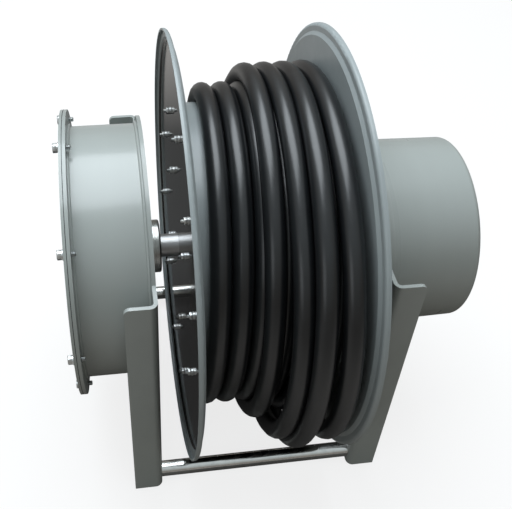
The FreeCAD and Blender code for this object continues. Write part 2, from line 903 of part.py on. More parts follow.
# Spring motor: a can on the left web, closed by a bolted cover
RIM_FACE = f"({CAN_END} + can_rim_sheet)"
spring_can = turned(
    "spring_housing",
    [
        (f"-{PLATE_OUT}", "bearing_outer_radius"),
        (f"-{PLATE_OUT}", "can_radius"),
        (f"-{CAN_END}", "can_radius"),
        (f"-{CAN_END}", "can_rim_radius"),
        (f"-{RIM_FACE}", "can_rim_radius"),
        (f"-{RIM_FACE}", "can_radius - can_wall"),
        (f"-({PLATE_OUT} + can_wall)", "can_radius - can_wall"),
        (f"-({PLATE_OUT} + can_wall)", "bearing_outer_radius"),
    ],
)
round_edges(
    spring_can, [(-value(CAN_END), None, None, value("can_radius"))], "can_rim_sheet * 0.8"
)
rim_holes = new_sketch(spring_can, "YZ_Plane")
bolt_circle(
    rim_holes,
    "cover_bolt_radius + thread_gap",
    "cover_bolts",
    "cover_bolt_circle",
    "cover_bolt_phase",
)
drill(spring_can, rim_holes)
floor_holes = new_sketch(spring_can, "YZ_Plane", f"-{PLATE_OUT}")
housing_holes(floor_holes)
can_holes = ("can_bolt_radius + thread_gap", "can_bolts", "can_bolt_circle", "can_bolt_phase")
bolt_circle(floor_holes, *can_holes)
pocket(spring_can, floor_holes, "2 * can_wall")

for label, start, sheet in (
    ("cover_gasket", RIM_FACE, "gasket_sheet"),
    ("spring_cover", f"({RIM_FACE} + gasket_sheet)", "cover_sheet"),
):
    bore = "can_radius" if label == "cover_gasket" else "0"
    disc = turned(
        label,
        [
            (f"-{start}", bore),
            (f"-{start}", "can_rim_radius"),
            (f"-({start} + {sheet})", "can_rim_radius"),
            (f"-({start} + {sheet})", bore),
        ],
    )
    disc_holes = new_sketch(disc, "YZ_Plane")
    bolt_circle(
        disc_holes,
        "cover_bolt_radius + bolt_hole_gap",
        "cover_bolts",
        "cover_bolt_circle",
        "cover_bolt_phase",
    )
    drill(disc, disc_holes)

COVER_FACE = f"({RIM_FACE} + gasket_sheet + cover_sheet)"
COVER_GRIP = "(can_rim_sheet + gasket_sheet + cover_sheet)"


def cover_screw():
    return hex_screw(
        "cover_bolt_head_width",
        "cover_bolt_head_depth",
        "cover_bolt_radius",
        f"{COVER_GRIP} + cover_bolt_tail",
        ("cover_washer_radius", "cover_washer_sheet"),
    )


cover_place = ("cover_bolts", "cover_bolt_circle", "cover_bolt_phase")
group(around(cover_screw, *cover_place, f"-{COVER_FACE}", AGAINST_X), "cover_screws")

arbor = turned(
    "spring_arbor",
    [
        (f"-({PLATE_OUT} + arbor_start)", "shaft_radius + hub_gap"),
        (f"-({PLATE_OUT} + arbor_start)", "arbor_radius"),
        (f"-({PLATE_OUT} + arbor_start + arbor_length)", "arbor_radius"),
        (f"-({PLATE_OUT} + arbor_start + arbor_length)", "shaft_radius + hub_gap"),
    ],
)

# The power spring: a flat strip wound from the arbor out to the can
spiral = doc.addObject("Part::Spiral", "spiral")
bind(
    spiral,
    Radius="spring_eye_radius + spring_sheet / 2",
    Rotations="spring_turns",
    Growth="(can_radius - can_wall - spring_eye_radius - spring_sheet - spring_gap) / spring_turns",
)
spiral.SegmentLength = 1
strip = doc.addObject("Part::Plane", "strip")
bind(strip, Length="spring_sheet", Width="spring_width")
place(strip, x="spring_eye_radius", turn=FreeCAD.Rotation(X_AXIS, 90))
doc.recompute()
spring = doc.addObject("Part::Sweep", "spring")
spring.Sections = [strip]
spring.Spine = (spiral, [f"Edge{i + 1}" for i in range(len(spiral.Shape.Edges))])
spring.Solid = True
spring.Frenet = True
place(
    spring,
    x=f"-({PLATE_OUT} + arbor_start + (arbor_length - spring_width) / 2)",
    z="axis_height",
    turn=AGAINST_X,
)
node(spring, "drive_spring")

# Slip-ring unit, under a spun cup on the right web
base = turned(
    "slip_ring_base",
    [
        (PLATE_OUT, "bearing_outer_radius"),
        (PLATE_OUT, "cup_base_radius - cup_wall - base_plate_gap"),
        (base_out, "cup_base_radius - cup_wall - base_plate_gap"),
        (base_out, "bearing_outer_radius"),
    ],
)
base_holes = new_sketch(base, "YZ_Plane")
housing_holes(base_holes)
web_holes = ("base_bolt_radius + thread_gap", "can_bolts", "base_bolt_circle", "can_bolt_phase")
bolt_circle(base_holes, *web_holes)
drill(base, base_holes)
CUP_END = f"({PLATE_OUT} + cup_length)"
CUP_TAPER = "(cup_base_radius - cup_end_radius) / cup_length"
cup = turned(
    "slip_ring_cover",
    [
        (PLATE_OUT, "cup_base_radius"),
        (CUP_END, "cup_end_radius"),
        (CUP_END, "0"),
        (f"{CUP_END} - cup_wall", "0"),
        (f"{CUP_END} - cup_wall", "cup_end_radius - cup_wall"),
        (PLATE_OUT, "cup_base_radius - cup_wall"),
    ],
)
round_edges(cup, [(value(CUP_END), None, None, value("cup_end_radius"))], "cup_edge_round")
round_edges(
    cup,
    [(value(f"{CUP_END} - cup_wall"), None, None, value("cup_end_radius - cup_wall"))],
    "cup_edge_round - cup_wall",
)
stud_holes = new_sketch(cup, "YZ_Plane", f"{CUP_END} + cup_wall")
bolt_circle(stud_holes, "stud_radius + bolt_hole_gap", "studs", "stud_circle", "stud_phase")
pocket(cup, stud_holes, "4 * cup_wall")
gland_hole = circle(
    new_sketch(cup, "XZ_Plane", "-(cup_base_radius - 3 * gland_seat_depth)"),
    "gland_bore_radius + base_plate_gap + cup_wall",
    "gland_x",
)
pocket(cup, gland_hole, "6 * gland_seat_depth")

studs = around(
    lambda: cylinder("stud_radius", f"cup_length - base_plate_sheet + stud_tail"),
    "studs",
    "stud_circle",
    "stud_phase",
    base_out,
    ALONG_X,
)
group(studs, "cover_studs")


def stud_nut():
    body = hexagon("stud_nut_width", "stud_nut_depth")
    return cut(body, cylinder("stud_radius + thread_gap", "4 * stud_nut_depth"))


group(around(stud_nut, "studs", "stud_circle", "stud_phase", CUP_END, ALONG_X), "cover_stud_nuts")

sleeve = cylinder("stack_sleeve_radius", STACK_LENGTH, STACK_BEGIN, "0", "axis_height", ALONG_X)
sleeve_bore = cylinder(
    "shaft_radius + hub_gap", STACK_LENGTH, STACK_BEGIN, "0", "axis_height", ALONG_X
)
node(cut(sleeve, sleeve_bore), "slip_ring_sleeve")


def stack_ring(radius, width, x):
    low = "stack_sleeve_radius + hub_gap"
    disc = cylinder(radius, width, x, "0", "axis_height", ALONG_X)
    return cut(disc, cylinder(low, width, x, "0", "axis_height", ALONG_X))


rings, insulators = [], []
for i in range(int(value("slip_rings")) + 1):
    start = f"{STACK_BEGIN} + {i} * {STACK_PITCH}"
    insulators.append(stack_ring("insulator_radius", "insulator_width", start))
    if i < int(value("slip_rings")):
        rings.append(
            stack_ring("slip_ring_radius", "slip_ring_width", f"{start} + insulator_width")
        )
group(rings, "slip_rings")
group(insulators, "ring_insulators")
nut = hexagon("stack_nut_width", "stack_nut_depth", turn=ALONG_X)
nut_bore = cylinder("shaft_radius + hub_gap", "stack_nut_depth", turn=ALONG_X)
node(place(cut(nut, nut_bore), f"{STACK_BEGIN} + {STACK_LENGTH}", "0", "axis_height"), "stack_nut")

# Brushes: each holder is clamped on a stud and holds a carbon block over its ring
holders, brushes = [], []
for i in range(int(value("slip_rings"))):
    middle = f"({STACK_BEGIN} + insulator_width + slip_ring_width / 2 + {i} * {STACK_PITCH})"
    brush_low = "slip_ring_radius + brush_gap"
    brush = box(
        "brush_width",
        "brush_depth",
        "brush_length",
        f"{middle} - brush_width / 2",
        "-brush_depth / 2",
        f"axis_height + {brush_low}",
    )
    brushes.append(brush)
    collar = cylinder(
        "holder_radius",
        "slip_ring_width",
        f"{middle} - slip_ring_width / 2",
        "0",
        "axis_height + stud_circle",
        ALONG_X,
    )
    tongue = box(
        "slip_ring_width",
        "brush_depth",
        f"stud_circle - ({brush_low} + brush_length)",
        f"{middle} - slip_ring_width / 2",
        "-brush_depth / 2",
        f"axis_height + {brush_low} + brush_length",
    )
    bore = cylinder(
        "stud_radius + hub_gap",
        "slip_ring_width",
        f"{middle} - slip_ring_width / 2",
        "0",
        "axis_height + stud_circle",
        ALONG_X,
    )
    holders.append(cut(fuse([collar, tongue]), bore))
group(holders, "brush_holders")
group(brushes, "carbon_brushes")

terminal = box(
    "terminal_length",
    "terminal_depth",
    "terminal_width",
    base_out,
    "-terminal_depth / 2",
    "axis_height - terminal_drop - terminal_width / 2",
)
node(terminal, "terminal_block")

# Cable gland at the rear of the cup, where the supply cable goes in
gland = fuse(
    [
        cylinder("gland_body_radius", "gland_reach"),
        hexagon("gland_nut_width", "gland_seat_depth * 2"),
        cylinder("gland_bore_radius + cup_wall", "4 * gland_seat_depth", z="-4 * gland_seat_depth"),
    ]
)
gland_bore = cylinder(
    "gland_bore_radius", "4 * gland_seat_depth + gland_reach", z="-4 * gland_seat_depth"
)
node(
    place(
        cut(gland, gland_bore),
        "gland_x",
        f"cup_base_radius - {CUP_TAPER} * (gland_x - {PLATE_OUT}) + winding_gap",
        "axis_height",
        BACKWARD,
    ),
    "supply_gland",
)

doc.recompute()
for thing in doc.Objects:
    if "Invalid" in thing.State or "Error" in thing.State:
        raise RuntimeError(f"{thing.Name} ({thing.Label}) failed: {thing.State}")
os.makedirs("parts", exist_ok=True)
for thing in nodes:
    if thing.Shape.isNull() or not thing.Shape.isValid():
        raise RuntimeError(f"{thing.Label} has no valid shape")
    thing.Shape.exportStep(f"parts/{thing.Label}.step")
    box_now = thing.Shape.BoundBox
    print(
        f"{thing.Label}: {len(thing.Shape.Solids)} solids, {thing.Shape.Volume / 1000:.1f} cm3,"
        f" x {box_now.XMin:.1f} to {box_now.XMax:.1f}, y {box_now.YMin:.1f} to {box_now.YMax:.1f},"
        f" z {box_now.ZMin:.1f} to {box_now.ZMax:.1f}"
    )
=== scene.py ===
import json
import math

import bmesh
import bpy
from mathutils import Matrix, Vector


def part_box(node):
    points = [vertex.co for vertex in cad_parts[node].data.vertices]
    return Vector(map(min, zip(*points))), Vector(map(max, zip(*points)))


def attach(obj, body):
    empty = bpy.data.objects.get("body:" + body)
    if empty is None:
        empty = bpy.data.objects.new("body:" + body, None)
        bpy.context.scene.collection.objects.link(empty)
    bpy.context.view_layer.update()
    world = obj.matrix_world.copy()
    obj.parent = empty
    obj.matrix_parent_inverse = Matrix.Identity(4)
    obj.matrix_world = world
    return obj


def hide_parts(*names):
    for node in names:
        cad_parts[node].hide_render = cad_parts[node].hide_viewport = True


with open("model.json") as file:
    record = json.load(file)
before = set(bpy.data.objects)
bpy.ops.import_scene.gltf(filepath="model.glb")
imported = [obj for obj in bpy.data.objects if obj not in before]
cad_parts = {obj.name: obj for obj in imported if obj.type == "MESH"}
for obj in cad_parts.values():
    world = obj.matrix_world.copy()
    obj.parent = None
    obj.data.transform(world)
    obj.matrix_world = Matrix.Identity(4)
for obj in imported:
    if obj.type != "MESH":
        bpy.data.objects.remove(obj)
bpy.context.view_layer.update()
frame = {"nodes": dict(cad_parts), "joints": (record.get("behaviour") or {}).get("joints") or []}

bl_info = {
    "name": "Cable Reel Finishes",
    "version": (1, 0, 0),
    "blender": (4, 5, 0),
    "location": "3D View > Sidebar > Cable Reel",
    "description": "Winds the cable and gives the reeling drum its fasteners, welds and finishes",
    "category": "Object",
}

MM = 0.001
AXIS_HEIGHT = frame["joints"][0]["pos_m"][2]


def lowest(node):
    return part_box(node)[0]


def highest(node):
    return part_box(node)[1]


# The faces that the fasteners and welds sit on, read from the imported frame
FLANGE_SHEET = 3 * MM
FLANGE_RIM = 16 * MM
FLANGE_INSIDE = lowest("right_drum_flange")[0]
FLANGE_OUTSIDE = FLANGE_INSIDE + FLANGE_SHEET
RIM_STEP = highest("right_drum_flange")[1] - FLANGE_RIM
RIM_FACE = lowest("spring_cover")[0]
COVER_THREAD_END = highest("cover_screws")[0]
CAN_RIM = 27 * MM
CAN_RADIUS = (highest("spring_housing")[1] - lowest("spring_housing")[1]) / 2 - CAN_RIM
CAN_END = highest("spring_housing")[0]


# Values that a user would change


class ReelCable(bpy.types.PropertyGroup):
    diameter: bpy.props.FloatProperty(
        name="Diameter", description="Across the sheath", default=31 * MM, unit="LENGTH"
    )
    pitch: bpy.props.FloatProperty(
        name="Pitch", description="From one turn to the next", default=31.4 * MM, unit="LENGTH"
    )
    first_layer: bpy.props.FloatProperty(
        name="First layer",
        description="From the drum's axis to the middle of the cable on the barrel",
        default=248.8 * MM,
        unit="LENGTH",
    )
    sheath: bpy.props.StringProperty(
        name="Sheath", description="Colour of the sheath, as sRGB hex", default="0F1012"
    )


class ReelPaint(bpy.types.PropertyGroup):
    drum: bpy.props.StringProperty(
        name="Drum", description="Colour of the drum's enamel, as sRGB hex", default="909798"
    )
    # Painted shade: the flanges' outer faces are coloured dark to stand in for the shade on them.
    outer_face_shade: bpy.props.StringProperty(
        name="Outer face",
        description="Colour of the flanges' dark outer faces, as sRGB hex",
        default="24211F",
    )
    frame: bpy.props.StringProperty(
        name="Frame",
        description="Colour of the brackets and covers, as sRGB hex",
        default="989D9A",
    )
    peel: bpy.props.FloatProperty(
        name="Orange peel",
        description="Size of the ripple in the sprayed enamel",
        default=2.2 * MM,
        unit="LENGTH",
    )


class ReelFasteners(bpy.types.PropertyGroup):
    cover_count: bpy.props.IntProperty(
        name="Cover bolts", description="Bolts round the spring cover", default=8, min=3
    )
    cover_circle: bpy.props.FloatProperty(
        name="Cover bolt circle",
        description="Radius of the ring of cover bolts",
        default=217.5 * MM,
        unit="LENGTH",
    )
    cover_flats: bpy.props.FloatProperty(
        name="Cover bolt flats",
        description="Across the flats of a cover bolt's head",
        default=13 * MM,
        unit="LENGTH",
    )
    flange_flats: bpy.props.FloatProperty(
        name="Flange nut flats",
        description="Across the flats of a nut on the flanges",
        default=10 * MM,
        unit="LENGTH",
    )


class ReelStage(bpy.types.PropertyGroup):
    floor: bpy.props.StringProperty(
        name="Floor", description="Colour of the floor, as sRGB hex", default="F4F4F4"
    )
    light: bpy.props.FloatProperty(
        name="Light", description="Strength of the soft light over the reel", default=82.0
    )


# Making and placing


def deselect():
    if bpy.context.object and bpy.context.object.mode != "OBJECT":
        bpy.ops.object.mode_set(mode="OBJECT")
    bpy.ops.object.select_all(action="DESELECT")


def select_faces(choose):
    """In edit mode, select the faces of the active mesh that the test picks."""
    bpy.ops.mesh.select_mode(type="FACE")
    bpy.ops.mesh.select_all(action="DESELECT")
    mesh = bmesh.from_edit_mesh(bpy.context.object.data)
    for face in mesh.faces:
        face.select_set(choose(face))
    bmesh.update_edit_mesh(bpy.context.object.data)


def faces_up(face):
    return face.normal.z > 0.9


def faces_down(face):
    return face.normal.z < -0.9


def bevel(piece, width, segments):
    modifier = piece.modifiers.new("Bevel", "BEVEL")
    modifier.width = width
    modifier.segments = segments
    modifier.limit_method = "ANGLE"
    bpy.ops.object.modifier_apply(modifier=modifier.name)


def complete(piece, name, body, material, angle=35):
    """Name a piece, put its place in its mesh, smooth it, and say what it rides on."""
    deselect()
    piece.name = name
    piece.data.name = name
    piece.select_set(True)
    bpy.context.view_layer.objects.active = piece
    bpy.ops.object.transform_apply(location=True, rotation=True, scale=True)
    bpy.ops.object.shade_smooth_by_angle(angle=math.radians(angle))
    piece.data.materials.clear()
    piece.data.materials.append(bpy.data.materials[material])
    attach(piece, body)
    deselect()
    return piece


def on_circle(radius, degrees, x):
    """A point round the drum's axis; 0 degrees is to the rear and 90 is up."""
    angle = math.radians(degrees)
    return Vector((x, radius * math.cos(angle), AXIS_HEIGHT + radius * math.sin(angle)))


def ring(first, count):
    """Evenly spaced angles, in degrees, from the first."""
    return [first + i * 360 / count for i in range(count)]


def join_copies(model, places, name, body, material):
    """Set copies of a model, which stands along +Z, at each (place, direction along X)."""
    deselect()
    model.select_set(True)
    bpy.ops.object.transform_apply(location=True, rotation=True, scale=True)
    copies = []
    for place, direction in places:
        copy = model.copy()
        copy.data = model.data.copy()
        bpy.context.collection.objects.link(copy)
        copy.matrix_world = Matrix.Translation(place) @ Matrix.Rotation(
            math.radians(90 * direction), 4, "Y"
        )
        copies.append(copy)
    bpy.data.objects.remove(model)
    deselect()
    for copy in copies:
        copy.select_set(True)
    bpy.context.view_layer.objects.active = copies[0]
    bpy.ops.object.join()
    return complete(copies[0], name, body, material)


# Colours and nodes


def linear(text):
    """An sRGB hex colour as Blender's linear colour."""
    shares = [int(text[i : i + 2], 16) / 255 for i in (0, 2, 4)]
    return [c / 12.92 if c <= 0.04045 else ((c + 0.055) / 1.055) ** 2.4 for c in shares] + [1.0]


def shade(text, factor):
    """A hex colour made lighter or darker."""
    shares = [min(255, round(int(text[i : i + 2], 16) * factor)) for i in (0, 2, 4)]
    return "".join(f"{share:02X}" for share in shares)


def add_node(tree, kind, links=None, **settings):
    """Add a node; settings name its properties or sockets, links go from a socket to its input."""
    node = tree.nodes.new(kind)
    for name, setting in settings.items():
        if hasattr(node, name):
            setattr(node, name, setting)
        else:
            node.inputs[name.replace("_", " ")].default_value = setting
    for name, source in (links or {}).items():
        tree.links.new(source, node.inputs[name])
    return node


def calculate(tree, operation, *terms):
    """The result of a Math node whose terms are sockets or plain numbers."""
    node = add_node(tree, "ShaderNodeMath", operation=operation)
    for place, term in zip(node.inputs, terms):
        if isinstance(term, bpy.types.NodeSocket):
            tree.links.new(term, place)
        else:
            place.default_value = term
    return node.outputs[0]


def spread(tree, source, low, high, start=0.3, end=0.7):
    """Turn values from start to end into values from low to high."""
    return add_node(
        tree,
        "ShaderNodeMapRange",
        {"Value": source},
        From_Min=start,
        From_Max=end,
        To_Min=low,
        To_Max=high,
    ).outputs[0]


def tint(tree, share, first, second):
    """Mix two colours, each a hex text or a socket, by a value."""
    mix = add_node(tree, "ShaderNodeMix", {"Factor": share}, data_type="RGBA")
    for place, colour in ((6, first), (7, second)):
        if isinstance(colour, str):
            mix.inputs[place].default_value = linear(colour)
        else:
            tree.links.new(colour, mix.inputs[place])
    return mix.outputs[2]


def place_parts(tree, coordinates="Object"):
    """The X, Y and Z of the shaded point."""
    place = add_node(tree, "ShaderNodeTexCoord").outputs[coordinates]
    return add_node(tree, "ShaderNodeSeparateXYZ", {"Vector": place}).outputs


def pattern(tree, size, stretch=(1, 1, 1), detail=3.0, roughness=0.55):
    """Noise on Object coordinates whose grain is size metres across."""
    place = add_node(tree, "ShaderNodeTexCoord")
    fitted = add_node(
        tree, "ShaderNodeMapping", {"Vector": place.outputs["Object"]}, Scale=stretch
    )
    return add_node(
        tree,
        "ShaderNodeTexNoise",
        {"Vector": fitted.outputs[0]},
        Scale=1 / size,
        Detail=detail,
        Roughness=roughness,
    ).outputs["Fac"]


def bump(tree, source, depth, strength):
    return add_node(
        tree, "ShaderNodeBump", {"Height": source}, Distance=depth, Strength=strength
    ).outputs[0]


# Materials. Sizes of patterns and depths of bumps are in metres.

# Grain that is even, drawn round the drum's axis, or drawn along it
EVEN = (1, 1, 1)
ROUND_THE_AXIS = (1, 0.04, 0.04)
ALONG_THE_AXIS = (0.04, 1, 1)
# Enamel: its faint clouds, its worn patches, and the depth of its orange peel
CLOUDS = 90 * MM
WORN_PATCHES = 22 * MM
PEEL_DEPTH = 0.01 * MM
# The flanges' outer faces: roughness, and how deep in the sheet the painted shade starts
FULL_GLOSS = 0.07
OUTER_SKIN = FLANGE_INSIDE + 2.6 * MM
# Stains on metal, and on plastics and rubbers
METAL_STAINS = 12 * MM
PLASTIC_STAINS = 30 * MM

# Metals: colours, roughness, direction of the grain, its size and its depth
METALS = {
    # Ground shaft: fine rings round the axis, oiled and bright.
    "ground_steel": (("B9BBBB", "CFD1D0"), (0.12, 0.18), ROUND_THE_AXIS, 1.2 * MM, 0.004 * MM),
    # Turned housing: wider tool rings than grinding leaves.
    "turned_steel": (("A7A9A6", "C3C4C0"), (0.22, 0.38), ROUND_THE_AXIS, 2 * MM, 0.02 * MM),
    "polished_bearing_steel": (("C9CBCC", "DADBDB"), (0.06, 0.12), EVEN, 3 * MM, 0.002 * MM),
    # Drawn rod: faint lines along it and small dull patches from handling.
    "bright_drawn_rod": (("CDCECC", "DEDEDB"), (0.1, 0.15), ALONG_THE_AXIS, 1.5 * MM, 0.002 * MM),
    # Zinc plate: pale, slightly blue, with a soft spangle.
    "bright_zinc_plate": (("C4C7C8", "DDDEDC"), (0.26, 0.4), EVEN, 2 * MM, 0.01 * MM),
    "blued_spring_strip": (("2C3440", "4A5364"), (0.2, 0.4), ALONG_THE_AXIS, 3 * MM, 0.01 * MM),
    "turned_brass": (("C79A4B", "DDB668"), (0.16, 0.3), ROUND_THE_AXIS, 1.2 * MM, 0.01 * MM),
}
# Plastics and rubbers: colours, roughness, size of the grain and its depth
PLASTICS = {
    "nitrile_sheet": (("15161A", "1D1E20"), (0.55, 0.7), 1.5 * MM, 0.02 * MM),
    "turned_phenolic": (("5A2414", "6E3320"), (0.3, 0.45), 1.5 * MM, 0.01 * MM),
    "pressed_carbon": (("1B1B1C", "2A2A2B"), (0.5, 0.7), 0.8 * MM, 0.02 * MM),
    "moulded_urea": (("B9B7AC", "C6C4B9"), (0.35, 0.45), 1.2 * MM, 0.01 * MM),
    "moulded_polyamide": (("141416", "1E1E20"), (0.4, 0.55), 1 * MM, 0.02 * MM),
}
CHLOROPRENE_IOR = 1.558
CAST_IRON_PAINT = "4C5152"

NODE_FINISHES = {
    "enamelled_drum_sheet": ("left_drum_flange", "right_drum_flange", "drum_barrel"),
    "enamelled_plate": (
        "left_bracket",
        "right_bracket",
        "left_foot_plate",
        "right_foot_plate",
    ),
    "enamelled_rolled_sheet": (
        "spring_housing",
        "spring_cover",
        "slip_ring_base",
        "slip_ring_cover",
    ),
    "painted_cast_iron": ("left_hub", "right_hub"),
    "ground_steel": ("drum_shaft", "spring_arbor"),
    "turned_steel": ("left_bearing_housing", "right_bearing_housing"),
    "polished_bearing_steel": ("bearing_outer_rings", "bearing_inner_rings", "bearing_balls"),
    "bright_drawn_rod": ("front_tie_rod", "rear_tie_rod"),
    "bright_zinc_plate": (
        "barrel_screws",
        "hub_screws",
        "tie_rod_screws",
        "housing_screws",
        "spring_housing_screws",
        "slip_ring_base_screws",
        "cover_screws",
        "cover_studs",
        "cover_stud_nuts",
        "stack_nut",
    ),
    "blued_spring_strip": ("drive_spring",),
    "nitrile_sheet": ("cover_gasket",),
    "turned_brass": ("slip_rings", "brush_holders"),
    "turned_phenolic": ("slip_ring_sleeve", "ring_insulators"),
    "pressed_carbon": ("carbon_brushes",),
    "moulded_urea": ("terminal_block",),
    "moulded_polyamide": ("supply_gland",),
}


def new_material(name):
    material = bpy.data.materials.new(name)
    material.use_nodes = True
    tree = material.node_tree
    tree.nodes.clear()
    shader = add_node(tree, "ShaderNodeBsdfPrincipled")
    add_node(tree, "ShaderNodeOutputMaterial", {"Surface": shader.outputs[0]})
    return tree, shader


def enamel(name, colour, peel, grain=EVEN, rough=(0.3, 0.36), coat=0.25):
    """Sprayed enamel on sheet steel: semi-gloss, with orange peel and a little handling dust."""
    tree, shader = new_material(name)
    cloudy = pattern(tree, CLOUDS, grain)
    worn = pattern(tree, WORN_PATCHES, grain, detail=1.5)
    paint = tint(tree, spread(tree, cloudy, 0, 1), shade(colour, 0.98), shade(colour, 1.02))
    gloss = spread(tree, worn, *rough)
    fine = pattern(tree, peel, detail=2.0)
    tree.links.new(paint, shader.inputs["Base Color"])
    tree.links.new(gloss, shader.inputs["Roughness"])
    tree.links.new(bump(tree, fine, PEEL_DEPTH, 0.12), shader.inputs["Normal"])
    shader.inputs["Coat Weight"].default_value = coat
    shader.inputs["Coat Roughness"].default_value = 0.12
    return tree, shader, paint, gloss


def paint_outer_face_shade(tree, shader, paint, gloss, dark):
    """Paint shade on the flanges' outer faces: a dark, brownish base colour stands in for their
    shade, under a full gloss that mirrors the bolts.
    """
    parts = place_parts(tree)
    side = calculate(tree, "ABSOLUTE", parts["X"])
    outside = calculate(tree, "GREATER_THAN", side, OUTER_SKIN)
    height = calculate(tree, "SUBTRACT", parts["Z"], AXIS_HEIGHT)
    across = add_node(tree, "ShaderNodeCombineXYZ", {"Y": parts["Y"], "Z": height})
    reach = add_node(tree, "ShaderNodeVectorMath", {0: across.outputs[0]}, operation="LENGTH")
    within = calculate(tree, "LESS_THAN", reach.outputs["Value"], RIM_STEP)
    # The mask of the outer faces where the dark colour is painted as shade.
    outer_face_shade = calculate(tree, "MULTIPLY", outside, within)
    tree.links.new(tint(tree, outer_face_shade, paint, dark), shader.inputs["Base Color"])
    smooth = add_node(tree, "ShaderNodeMix", {"Factor": outer_face_shade}, data_type="FLOAT")
    tree.links.new(gloss, smooth.inputs[2])
    smooth.inputs[3].default_value = FULL_GLOSS
    tree.links.new(smooth.outputs[0], shader.inputs["Roughness"])


def metal(name, colours, rough, grain, size, depth):
    """Bare or plated metal with a directional grain."""
    tree, shader = new_material(name)
    lines = pattern(tree, size, grain, detail=4.0, roughness=0.6)
    stains = spread(tree, pattern(tree, METAL_STAINS, detail=4.0), 0, 1)
    tree.links.new(tint(tree, stains, *colours), shader.inputs["Base Color"])
    tree.links.new(spread(tree, lines, *rough), shader.inputs["Roughness"])
    tree.links.new(bump(tree, lines, depth, 0.4), shader.inputs["Normal"])
    shader.inputs["Metallic"].default_value = 1.0


def plastic(name, colours, rough, size, depth, ior=1.5):
    """Moulded, turned or cut plastics and rubbers."""
    tree, shader = new_material(name)
    grain = pattern(tree, size, detail=4.0)
    stains = spread(tree, pattern(tree, PLASTIC_STAINS), 0, 1)
    tree.links.new(tint(tree, stains, *colours), shader.inputs["Base Color"])
    tree.links.new(spread(tree, grain, *rough), shader.inputs["Roughness"])
    tree.links.new(bump(tree, grain, depth, 0.5), shader.inputs["Normal"])
    shader.inputs["IOR"].default_value = ior


class REEL_OT_materials(bpy.types.Operator):
    """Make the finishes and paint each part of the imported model"""

    bl_idname = "reel.materials"
    bl_label = "Finishes"

    def execute(self, context):
        paint = context.scene.reel_paint
        sheath = context.scene.reel_cable.sheath
        drum = enamel("enamelled_drum_sheet", paint.drum, paint.peel, coat=0.0)
        # The flanges' outer faces get painted shade: a dark colour in place of the shade on them.
        paint_outer_face_shade(*drum, paint.outer_face_shade)
        enamel("enamelled_plate", paint.frame, paint.peel)
        enamel("enamelled_rolled_sheet", paint.frame, paint.peel, ROUND_THE_AXIS, (0.27, 0.31))
        enamel("painted_cast_iron", CAST_IRON_PAINT, 4 * MM, rough=(0.4, 0.6), coat=0.0)
        for name, finish in METALS.items():
            metal(name, *finish)
        for name, finish in PLASTICS.items():
            plastic(name, *finish)
        # Chloroprene sheath: black and half matt, a little shinier where it has rubbed.
        colours = (sheath, shade(sheath, 1.35))
        plastic(
            "chloroprene_sheath", colours, (0.28, 0.34), 4 * MM, 0.006 * MM, CHLOROPRENE_IOR
        )
        for finish, nodes in NODE_FINISHES.items():
            for node in nodes:
                slots = frame["nodes"][node].material_slots
                if not slots:
                    frame["nodes"][node].data.materials.append(bpy.data.materials[finish])
                for place in slots:
                    place.material = bpy.data.materials[finish]
        return {"FINISHED"}


# The cable. Turns are counted from its hole in the barrel, at the rear, and go down, then
# forward. Lengths in this part are in millimetres.

POINTS_PER_TURN = 24
STEPS_PER_POINT = 4
# The turns where it starts in the drum, lies on the barrel, leaves the first layer, and ends
START_TURN = -0.085
ON_BARREL = 0.02
FIRST_END = 6.28
LAST_TURN = 10.22
# The share of a turn in which it climbs to the second layer
CLIMB = 0.32
# The first layer's start beside the left flange, and how far every turn weaves
FIRST_X = -99.2
WAVE = 7.5
WAVE_PHASE = 60
FLANGE_LIMIT = 98.2
ENTRY_DEPTH = 36.0
# Where the turns of the second layer lie at the top of the drum, and how much each leans
SECOND_X = {6: 91.0, 7: 59.8, 8: 28.6, 9: -2.8, 10: -34.2}
SECOND_START = min(SECOND_X)
LEAN_START = 0.611
TOP_SHARE = 0.836
LEAN = 30.0
LEANED = LEAN * (TOP_SHARE - LEAN_START)
# How far the sheath gives where turns press on each other
SHEATH_GIVE = 2.0
# The part of each turn, hidden at the rear, where the second layer steps over to the next place
CROSS_START = 0.88
CROSS_END = 1.14
# Slack turns: where each hangs furthest out, in turns, how far out and how far to the right
SLACK = (
    (3.4, 6.0, 0.0),
    (4.4, 22.0, 0.0),
    (5.4, 29.0, 0.0),
    (6.4, 30.0, 0.0),
    (7.4, 33.0, -5.0),
    (8.4, 20.0, 2.0),
)
OUT, RIGHT = 0, 1
# The shares of a turn over which the slack grows and goes, and the share of those that it fills
SLACK_BEFORE = 0.22
SLACK_AFTER = 0.42
SLACK_SLOPE = 0.75


def ease(value, start, end):
    """0 before start, 1 after end, smooth between."""
    share = min(1.0, max(0.0, (value - start) / (end - start)))
    return share * share * (3 - 2 * share)


def weave(turn):
    """How far a turn strays along the drum from its even spiral."""
    return WAVE * math.cos(math.radians(-360 * turn - WAVE_PHASE))


def slack(turn, which):
    """How far a turn of the cable hangs out, or to the right."""
    hang = 0.0
    for place, *furthest in SLACK:
        reach = SLACK_AFTER if turn > place else SLACK_BEFORE
        hang += furthest[which] * ease(1 - abs(turn - place) / reach, 0, SLACK_SLOPE)
    return hang


def first_x(turn, pitch):
    """Where a turn of the first layer stands along the drum."""
    return FIRST_X + pitch * turn + weave(turn)


def cable_x(turn, pitch):
    """Where a turn of the cable stands along the drum."""
    whole = max(SECOND_START, math.floor(turn - CROSS_START + 1))
    second = SECOND_X[whole] + LEANED * (ease(turn - whole, LEAN_START, TOP_SHARE) - 1)
    if whole > SECOND_START:
        share = ease(turn - whole + 1, CROSS_START, CROSS_END)
        second += (SECOND_X[whole - 1] - second) * (1 - share)
    second += weave(turn) + slack(turn, RIGHT)
    first = first_x(turn, pitch)
    return min(FLANGE_LIMIT, first + (second - first) * ease(turn, FIRST_END, FIRST_END + CLIMB))


